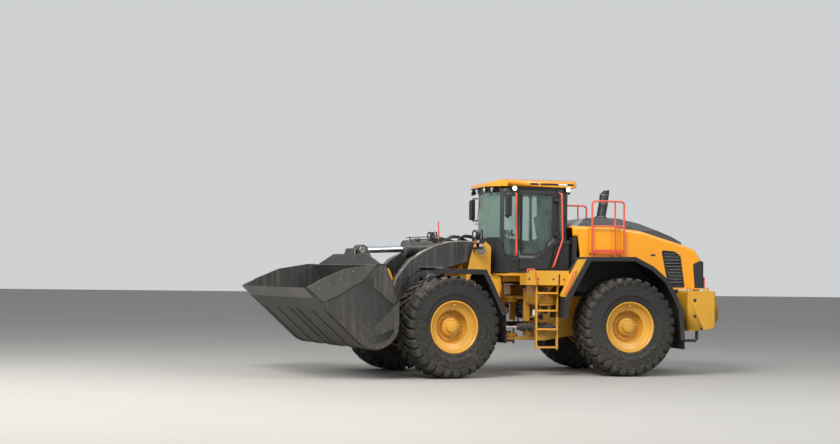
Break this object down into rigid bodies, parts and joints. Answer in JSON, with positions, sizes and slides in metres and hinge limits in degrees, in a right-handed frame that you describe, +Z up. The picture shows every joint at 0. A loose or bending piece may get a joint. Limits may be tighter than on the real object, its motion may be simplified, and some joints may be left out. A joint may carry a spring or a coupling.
{
  "type": "articulated wheel loader",
  "caption": "Articulated wheel loader of the 33 tonne class with a racked bucket, standing on its wheels.",
  "frame": {"origin": "centre of the footprint, on the ground", "axes": "+X forward along the rear frame, +Y left, +Z up"},
  "size_m": [9.19, 4.158, 3.745],
  "materials": {
    "hood_paint": "gloss enamel, orange yellow",
    "weight_paint": "enamel on cast weight, mustard yellow",
    "roof_paint": "enamel, yellow",
    "rim_paint": "dusty enamel, mustard yellow",
    "frame_paint": "dusty enamel, mustard yellow",
    "arm_paint": "dark grey enamel with dust",
    "bucket_steel": "worn dark grey enamel with dust",
    "cylinder_paint": "dark grey enamel",
    "rod_chrome": "hard chrome, ground",
    "pin_steel": "machined steel",
    "casting": "dark painted casting",
    "tyre_rubber": "dusty rubber",
    "black_plastic": "moulded, dusty",
    "cover_plastic": "glossy dark grey",
    "cab_paint": "satin black enamel",
    "window_glass": "green tinted",
    "seat_fabric": "woven, dark grey",
    "rail_paint": "enamel, orange red",
    "lamp_housing": "clear lens on black housing",
    "red_lens": "ribbed red lens",
    "exhaust_steel": "heat proof black paint"
  },
  "bodies": {
    "rear_unit": {"rear_frame": "weight_paint", "pivot_pins": "pin_steel", "rear_axle": "casting", "engine_block": "casting", "counterweight": "weight_paint", "cab_frame": "cab_paint", "cab_glass": "window_glass", "cab_skirts": "black_plastic", "cab_roof": "roof_paint", "seat": "seat_fabric", "steering_column": "black_plastic", "side_console": "black_plastic", "work_lamps": "lamp_housing", "mirrors": "black_plastic", "cab_deck": "cab_paint", "side_tanks": "cab_paint", "handrails": "rail_paint", "rear_fenders": "black_plastic", "side_steps": "frame_paint", "tail_stays": "black_plastic"},
    "front_unit": {"front_frame": "frame_paint", "frame_pins": "pin_steel", "front_axle": "casting", "headlamps": "black_plastic", "front_fenders": "black_plastic"},
    "lift_arm": {"lift_arms": "arm_paint", "rocker_pin": "pin_steel"},
    "bucket": {"bucket": "bucket_steel", "cutting_edges": "bucket_steel", "attachment_bracket": "arm_paint", "bucket_pins": "pin_steel"},
    "rocker": {"rocker": "arm_paint"},
    "link": {"link": "arm_paint"},
    "tilt_barrel": {"tilt_barrel": "cylinder_paint"},
    "tilt_rod": {"tilt_rod": "rod_chrome"},
    "lift_barrels": {"lift_barrels": "cylinder_paint"},
    "lift_rods": {"lift_rods": "rod_chrome"},
    "steer_barrel_left": {"steer_barrel_left": "cylinder_paint"},
    "steer_rod_left": {"steer_rod_left": "rod_chrome"},
    "steer_barrel_right": {"steer_barrel_right": "cylinder_paint"},
    "steer_rod_right": {"steer_rod_right": "rod_chrome"},
    "wheel_front_left": {"tyre_front_left": "tyre_rubber", "rim_front_left": "rim_paint"},
    "wheel_front_right": {"tyre_front_right": "tyre_rubber", "rim_front_right": "rim_paint"},
    "wheel_rear_left": {"tyre_rear_left": "tyre_rubber", "rim_rear_left": "rim_paint"},
    "wheel_rear_right": {"tyre_rear_right": "tyre_rubber", "rim_rear_right": "rim_paint"},
    "door": {"cab_door": "cab_paint", "door_glass": "window_glass"},
    "hood": {"hood": "hood_paint", "hood_cover": "cover_plastic", "side_grilles": "black_plastic", "rear_grille": "black_plastic", "tail_lights": "red_lens", "lamp_guards": "rail_paint", "exhaust_stack": "exhaust_steel"}
  },
  "joints": [
    {"name": "articulation", "type": "hinge", "parent": "rear_unit", "child": "front_unit", "pos_m": [-0.56436, -0.49897, 1.07], "axis": [0, 0, 1], "range_deg": [-47.3, 26.7]},
    {"name": "lift", "type": "hinge", "parent": "front_unit", "child": "lift_arm", "pos_m": [0.37033, -0.32911, 2.37], "axis": [0.1788, -0.9839, 0], "range_deg": [-5, 88]},
    {"name": "tilt", "type": "hinge", "parent": "lift_arm", "child": "bucket", "pos_m": [2.43649, 0.04638, 0.6], "axis": [-0.1788, 0.9839, 0], "range_deg": [-1, 88]},
    {"name": "rocker_swing", "type": "hinge", "parent": "lift_arm", "child": "rocker", "pos_m": [2.15116, -0.00548, 1.54], "axis": [0.1788, -0.9839, 0], "range_deg": [-1.55, 49.93]},
    {"name": "link_swing", "type": "hinge", "parent": "rocker", "child": "link", "pos_m": [1.81664, -0.06627, 1.2], "axis": [0.1788, -0.9839, 0], "range_deg": [-23.11, 0.72]},
    {"name": "tilt_cylinder_swing", "type": "hinge", "parent": "front_unit", "child": "tilt_barrel", "pos_m": [0.44904, -0.31481, 2.419], "axis": [0.1788, -0.9839, 0], "range_deg": [-7.12, 93.31]},
    {"name": "tilt_stroke", "type": "slide", "parent": "tilt_barrel", "child": "tilt_rod", "axis": [0.9831, 0.1787, -0.0401], "range_m": [-0.75637, 0.02342]},
    {"name": "lift_cylinder_swing", "type": "hinge", "parent": "front_unit", "child": "lift_barrels", "pos_m": [0.12436, -0.37381, 1], "axis": [0.1788, -0.9839, 0], "range_deg": [-2.92, 38.18]},
    {"name": "lift_stroke", "type": "slide", "parent": "lift_barrels", "child": "lift_rods", "axis": [0.8287, 0.1506, 0.5391], "range_m": [-0.0792, 1.03747]},
    {"name": "steer_swing_left", "type": "hinge", "parent": "rear_unit", "child": "steer_barrel_left", "pos_m": [-1.34436, 0.06103, 0.905], "axis": [0, 0, 1], "range_deg": [-14.86, 8.58]},
    {"name": "steer_stroke_left", "type": "slide", "parent": "steer_barrel_left", "child": "steer_rod_left", "axis": [0.9998, -0.0185, 0], "range_m": [-0.24018, 0.41575]},
    {"name": "steer_swing_right", "type": "hinge", "parent": "rear_unit", "child": "steer_barrel_right", "pos_m": [-1.34436, -1.05897, 0.905], "axis": [0, 0, 1], "range_deg": [-14.86, 8.58]},
    {"name": "steer_stroke_right", "type": "slide", "parent": "steer_barrel_right", "child": "steer_rod_right", "axis": [0.9909, 0.1343, 0], "range_m": [-0.41575, 0.24018]},
    {"name": "wheel_front_left", "type": "hinge", "parent": "front_unit", "child": "wheel_front_left", "pos_m": [1.12489, 1.02767, 0.94], "axis": [-0.1788, 0.9839, 0], "continuous": true},
    {"name": "wheel_front_right", "type": "hinge", "parent": "front_unit", "child": "wheel_front_right", "pos_m": [1.55402, -1.33365, 0.94], "axis": [-0.1788, 0.9839, 0], "continuous": true},
    {"name": "wheel_rear_left", "type": "hinge", "parent": "rear_unit", "child": "wheel_rear_left", "pos_m": [-2.49936, 0.70103, 0.94], "axis": [0, 1, 0], "continuous": true},
    {"name": "wheel_rear_right", "type": "hinge", "parent": "rear_unit", "child": "wheel_rear_right", "pos_m": [-2.49936, -1.69897, 0.94], "axis": [0, 1, 0], "continuous": true},
    {"name": "cab_door", "type": "hinge", "parent": "rear_unit", "child": "door", "pos_m": [-1.25436, 0.37103, 2.71], "axis": [0, 0, 1], "range_deg": [0, 85]},
    {"name": "hood_lid", "type": "hinge", "parent": "rear_unit", "child": "hood", "pos_m": [-4.33936, -0.49897, 1.712], "axis": [0, -1, 0], "range_deg": [0, 50]}
  ],
  "couplings": [
    {"joint": "rocker_swing", "follows": "tilt", "ratio": 0.5561},
    {"joint": "link_swing", "follows": "tilt", "ratio": -0.2574},
    {"joint": "tilt_cylinder_swing", "follows": "lift", "ratio": 1.0384},
    {"joint": "tilt_stroke", "follows": "tilt", "m_per_rad": -0.4827},
    {"joint": "lift_cylinder_swing", "follows": "lift", "ratio": 0.42493},
    {"joint": "lift_stroke", "follows": "lift", "m_per_rad": 0.66151},
    {"joint": "steer_swing_left", "follows": "articulation", "ratio": 0.30462},
    {"joint": "steer_stroke_left", "follows": "articulation", "m_per_rad": -0.48833},
    {"joint": "steer_swing_right", "follows": "articulation", "ratio": 0.30462},
    {"joint": "steer_stroke_right", "follows": "articulation", "m_per_rad": 0.48833}
  ]
}
